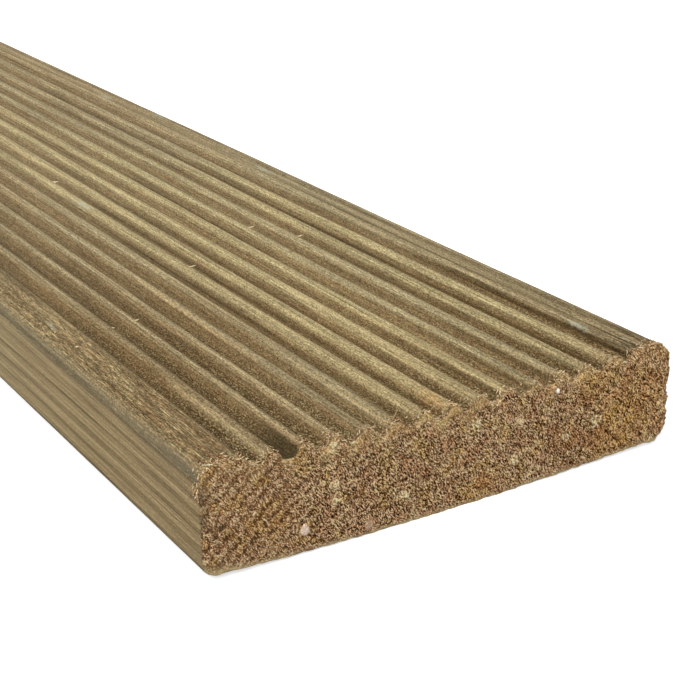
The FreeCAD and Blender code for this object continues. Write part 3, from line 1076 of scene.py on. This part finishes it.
def chip_points(at_y, at_z, half_y, half_z, seed):
    """A flat dome with a ragged outline: rings that narrow from a sunk foot to the top, and both middles."""
    turn = 2 * math.pi * np.arange(CHIP_CORNERS) / CHIP_CORNERS
    ragged = 1 + 0.08 * value_noise(2.5 + 1.6 * np.cos(turn), 2.5 + 1.6 * np.sin(turn), seed)
    share = np.array([1.0, 1.0, 0.8, 0.4])[:, None]
    height = np.array([-CHIP_SUNK, 0.6 * CHIP_HEIGHT, 0.9 * CHIP_HEIGHT, CHIP_HEIGHT])[:, None]
    ring_y = at_y + half_y * share * ragged * np.cos(turn)
    ring_z = at_z + half_z * share * ragged * np.sin(turn)
    ring_x = SAWN_X + height + 0 * turn
    middles = [(SAWN_X - CHIP_SUNK, at_y, at_z), (SAWN_X + CHIP_HEIGHT, at_y, at_z)]
    return np.concatenate([np.stack([ring_x, ring_y, ring_z], axis=-1).reshape(-1, 3), middles])


closed = closed_round(np.arange(CHIP_RINGS * CHIP_CORNERS).reshape(CHIP_RINGS, CHIP_CORNERS))
foot_middle = np.full(CHIP_CORNERS, CHIP_POINTS - 2)
foot_fan = np.stack([closed[0, 1:], closed[0, :-1], foot_middle], axis=1)
top_fan = np.stack([closed[-1, :-1], closed[-1, 1:], foot_middle + 1], axis=1)
first = CHIP_POINTS * np.arange(len(CHIPS))[:, None, None]
chips = lay_mesh("pressed_chips",
                 np.concatenate([chip_points(*chip[:4], CHIP_SEED + i) for i, chip in enumerate(CHIPS)]),
                 (first + quads(closed)[:, ::-1]).reshape(-1, 4),
                 (first + np.concatenate([foot_fan, top_fan])).reshape(-1, 3))
give_values(chips, "paleness", np.repeat([chip[4] for chip in CHIPS], CHIP_POINTS))
chips.data.materials.append(chip_wood)


# The slivers on the face: a few pale splinters of the same wood, torn loose by the cutters, lie caught in
# the grooves and on the near land, and two curl from the sawn edge.

# distance behind the front end, place across, length and width
SLIVERS = ((96.0, -49.0, 2.6, 0.9), (85.5, -49.0, 2.2, 0.7), (94.0, -42.0, 2.6, 0.6), (82.0, -65.0, 2.6, 0.7),
           (95.0, -65.5, 2.6, 0.8), (1.6, -30.0, 3.2, 0.4), (3.0, -67.6, 4.0, 0.5), (80.0, -22.0, 2.0, 0.5),
           (129.0, -7.5, 2.6, 0.5), (78.0, -8.5, 2.0, 0.5), (135.0, 34.5, 3.0, 0.6), (153.0, 26.5, 2.6, 0.6),
           (147.0, -22.5, 3.0, 0.6), (245.0, -6.5, 3.4, 0.9), (60.0, 12.0, 2.2, 0.5))
SLIVER_STRAW = 2.0

pick = np.random.default_rng(84)
behind, place_y, lengths, widths = np.array(SLIVERS).T
roots, normals = long_surface(HALF_LENGTH - behind, face_place(place_y))[:2]
along = np.array([1.0, 0.0, 0.0]) + pick.normal(0, 0.35, normals.shape) * (0, 1, 0) + 0.3 * normals
lay_fibres("pale_slivers", roots, along, lengths, widths, 0.2 * normals, np.full(len(SLIVERS), SLIVER_STRAW))


# The raised grain of the walking face: the cutters and the wet treatment have lifted fibres out of the
# grooves and the near land. Most lie along the board, and a few stand up and catch the light.


def raised_grain(name, far_end, near_end, tries, seed):
    """Fibres rooted on the face: drawn evenly along it, kept by how rough the place is, and laid along it."""
    pick = np.random.default_rng(seed)
    place_x = pick.uniform(far_end, near_end, tries)
    place_s = pick.uniform(STARTS[2], STARTS[3], tries)
    roots, normals, hollow, near_land = long_surface(place_x, place_s)
    rough = 0.05 + 0.22 * hollow**1.5 + 0.15 * near_land
    rough = rough * (1 - groove_end_shade_share(outline_y(place_s), HALF_LENGTH - place_x))
    kept = np.flatnonzero(pick.uniform(0, 1, tries) < rough)
    count = len(kept)
    roots = roots[kept]
    normals = normals[kept]
    sideways = np.cross(normals, (1.0, 0.0, 0.0))
    heading = np.sign(pick.uniform(-1, 1, (count, 1)))
    along = heading * np.array([1.0, 0.0, 0.0]) + pick.normal(0, 0.35, (count, 1)) * sideways
    along = along + pick.uniform(0.05, 0.7, (count, 1)) * normals
    curl = pick.normal(0, 0.2, (count, 1)) * sideways
    lengths = np.clip(pick.lognormal(-0.2, 0.4, count), 0.4, 2.4)
    widths = pick.uniform(0.07, 0.16, count)
    straw = np.clip(pick.normal(0.5, 0.28, count), 0.0, 1)
    lay_fibres(name, roots, along, lengths, widths, curl, straw)


GRAIN_SETBACK = 2
SHOWN_END = HALF_LENGTH - SHOWN_LENGTH
raised_grain("front_raised_grain", SHOWN_END, HALF_LENGTH - GRAIN_SETBACK, tries=48000, seed=70)
raised_grain("back_raised_grain", GRAIN_SETBACK - HALF_LENGTH, SHOWN_END, tries=24000, seed=71)


# The studio: a plain white floor under white air, lit by one wide soft panel above the near side of the
# front end, a weak one in front of it, and a narrow-beamed one over the back end.

FLOOR_SIZE = 80.0
FLOOR_SEEN = 0.93
FLOOR_BOUNCE = 0.3
FLOOR_GLOW = 0.6
AIR_LIGHT = 0.32

# where it hangs and the point that it faces, in metres, then its width, its watts and the spread of its beam
PANELS = {
    "key_panel": ((2.0, -1.25, 1.75), (0.8, 0.0, 0.0), 1.6, 54.5, math.radians(180.0)),
    "front_panel": ((2.6, -0.3, 0.5), (0.9, 0.0, 0.015), 1.0, 6.0, math.radians(180.0)),
    "rear_panel": ((-2.0, -1.25, 1.75), (-0.8, 0.0, 0.0), 1.6, 5.0, math.radians(40.0)),
}

half = FLOOR_SIZE / 2
floor_corners = [(-half, -half, 0), (half, -half, 0), (half, half, 0), (-half, half, 0)]
floor_mesh = bpy.data.meshes.new("studio_floor")
floor_mesh.from_pydata(floor_corners, [], [(0, 1, 2, 3)])
floor = bpy.data.objects.new("studio_floor", floor_mesh)
bpy.context.scene.collection.objects.link(floor)
floor_paint, tree = new_material("studio_floor")
camera_ray = add_node(tree, "ShaderNodeLightPath").outputs["Is Camera Ray"]
paint = mixed(tree, camera_ray, grey(FLOOR_BOUNCE), grey(FLOOR_SEEN))
matt = add_node(tree, "ShaderNodeBsdfDiffuse", {"Color": paint})
glow = add_node(tree, "ShaderNodeEmission", {"Strength": times(tree, camera_ray, FLOOR_GLOW)})
both = add_node(tree, "ShaderNodeAddShader", {0: matt.outputs[0], 1: glow.outputs[0]})
add_node(tree, "ShaderNodeOutputMaterial", {"Surface": both.outputs[0]})
floor.data.materials.append(floor_paint)

world = bpy.data.worlds.new("studio_air")
bpy.context.scene.world = world
world.use_nodes = True
tree = world.node_tree
tree.nodes.clear()
path = add_node(tree, "ShaderNodeLightPath").outputs
seen = worked(tree, "MAXIMUM", path["Is Glossy Ray"], path["Is Transmission Ray"])
seen = worked(tree, "MAXIMUM", path["Is Camera Ray"], seen)
air_strength = scaled(tree, seen, 1.0 - AIR_LIGHT, AIR_LIGHT)
air = add_node(tree, "ShaderNodeBackground", {"Color": grey(1.0), "Strength": air_strength})
add_node(tree, "ShaderNodeOutputWorld", {"Surface": air.outputs[0]})


def pose(right, upward, back, place):
    """The place and turn of a lamp or camera, from its three directions. It looks away from its back."""
    turned = np.eye(4)
    turned[:3] = np.stack([right, upward, back, place], axis=1)
    return Matrix(turned.tolist())


def light_panel(name, place, target, size, watts, spread):
    """A square soft light that faces a point, with a beam as wide as its spread."""
    lamp = bpy.data.lights.new(name, "AREA")
    lamp.size = size
    lamp.spread = spread
    lamp.energy = watts
    panel = bpy.data.objects.new(name, lamp)
    back = unit(np.array(place) - np.array(target))
    right = unit(np.cross((0.0, 1.0, 0.0), back))
    panel.matrix_world = pose(right, np.cross(back, right), back, place)
    bpy.context.scene.collection.objects.link(panel)


for name, settings in PANELS.items():
    light_panel(name, *settings)


# The camera: it stands in front of the sawn end, to its left and a little above it, and is placed and
# turned so that the board lies as in the photograph.

SENSOR = 36.0
FRAME_PIXELS = 700
FOCAL_PIXELS = 1510.0
NEAREST_SEEN = 0.01
CAMERA_FROM_END = np.array([269.42, -200.09, 180.97])
YAW, PITCH, ROLL = (math.radians(v) for v in (32.114, 22.375, 0.123))

look = np.array([-math.cos(YAW) * math.cos(PITCH), math.sin(YAW) * math.cos(PITCH), -math.sin(PITCH)])
right = unit(np.cross(look, (0.0, 0.0, 1.0)))
down = np.cross(look, right)
rolled_right = math.cos(ROLL) * right + math.sin(ROLL) * down
rolled_down = math.cos(ROLL) * down - math.sin(ROLL) * right
camera_place = (CAMERA_FROM_END + (HALF_LENGTH, 0, 0)) * MM
lens = bpy.data.cameras.new("view_camera")
lens.sensor_width = SENSOR
lens.lens = FOCAL_PIXELS * SENSOR / FRAME_PIXELS
lens.clip_start = NEAREST_SEEN
camera = bpy.data.objects.new("view_camera", lens)
camera.matrix_world = pose(rolled_right, -rolled_down, -look, camera_place)
bpy.context.scene.collection.objects.link(camera)
bpy.context.scene.camera = camera
bpy.context.scene.view_settings.view_transform = "Standard"
